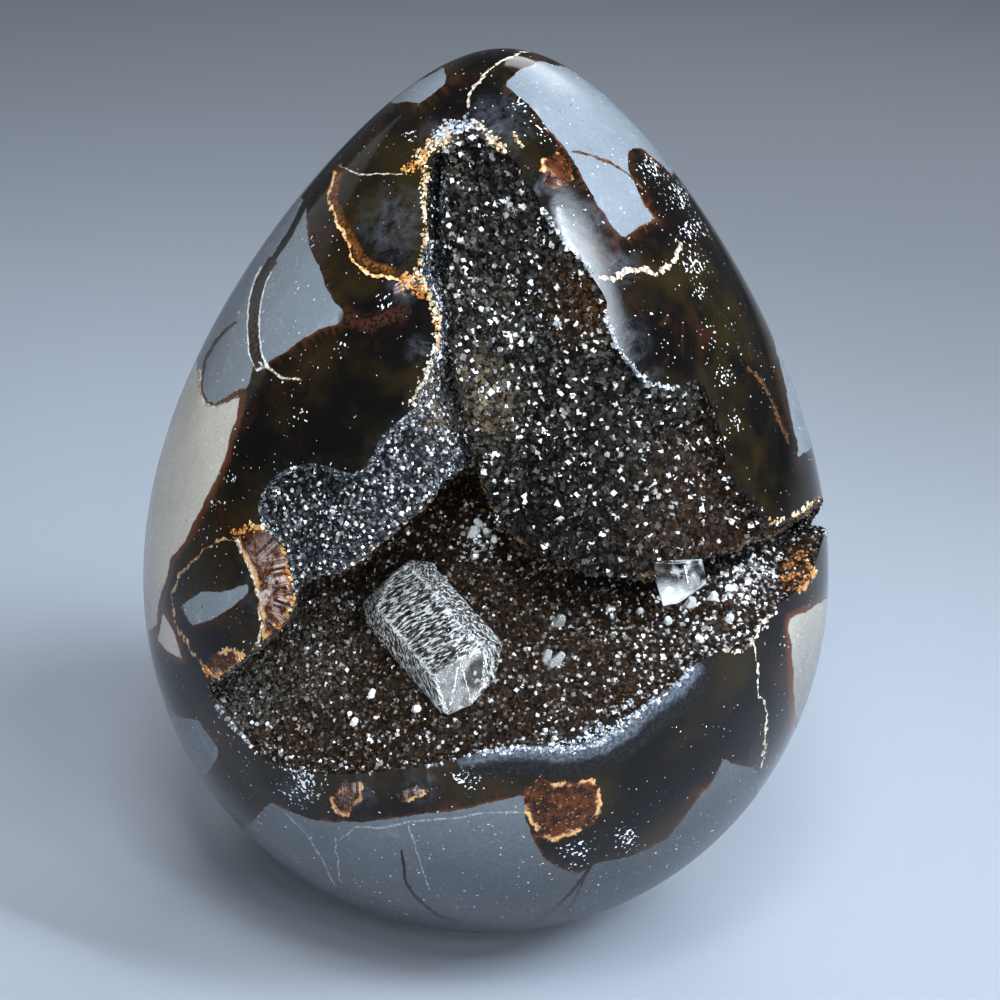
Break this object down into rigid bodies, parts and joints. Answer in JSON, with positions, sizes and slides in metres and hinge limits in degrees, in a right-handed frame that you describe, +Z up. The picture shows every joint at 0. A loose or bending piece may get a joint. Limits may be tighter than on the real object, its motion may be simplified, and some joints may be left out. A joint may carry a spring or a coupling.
{
  "type": "septarian nodule",
  "caption": "Polished egg of septarian nodule with an open hollow lined with small dark crystals and a large clear crystal on its floor.",
  "frame": {"origin": "centre of the small flat spot that the egg stands on", "axes": "+Z up along the egg's axis of turning, the open hollow faces -Y, +X is to the right of someone who looks into the hollow"},
  "size_m": [0.1272, 0.1268, 0.165],
  "materials": {
    "polished_stone": "polished",
    "druse": "sparkling small crystals",
    "clear_calcite": "clear"
  },
  "bodies": {
    "root": {"nodule": "polished_stone", "druse_crust": "druse", "clear_crystal": "clear_calcite", "slit_crystal": "clear_calcite"}
  },
  "joints": []
}
